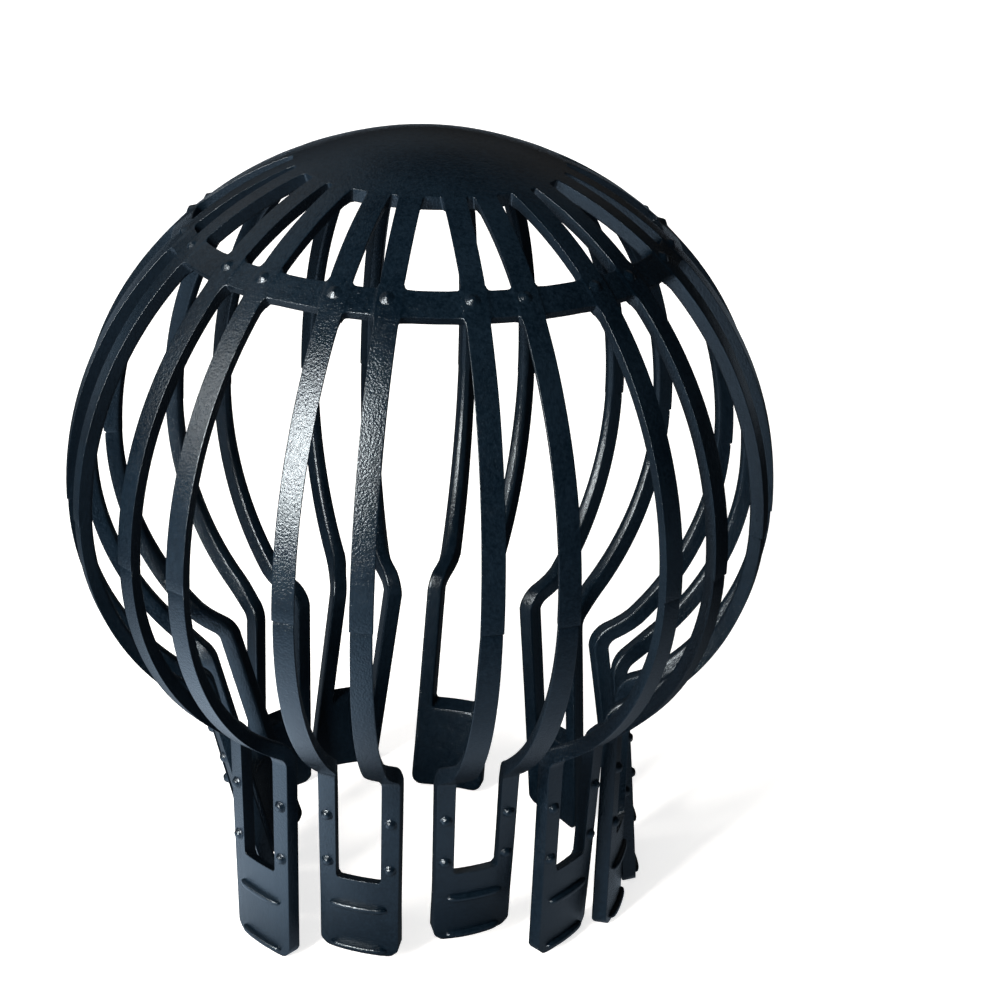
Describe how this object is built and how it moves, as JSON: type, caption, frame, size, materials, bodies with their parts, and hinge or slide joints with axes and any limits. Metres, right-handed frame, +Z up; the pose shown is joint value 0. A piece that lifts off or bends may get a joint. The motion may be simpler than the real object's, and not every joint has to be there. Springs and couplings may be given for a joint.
{
  "type": "downpipe leaf filter",
  "caption": "Balloon-shaped plastic cage that pushes into the mouth of a downpipe and keeps leaves out of it.",
  "frame": {"origin": "middle of the circle that the feet stand on, on the axis of the cage", "axes": "+Z up along the axis of the cage, from the feet to the crown; -Y towards the viewer of the picture"},
  "size_m": [0.1234, 0.1234, 0.1448],
  "materials": {
    "black_plastic": "semi-gloss with a fine satin grain"
  },
  "bodies": {
    "root": {"leaf_guard": "black_plastic"}
  },
  "joints": []
}
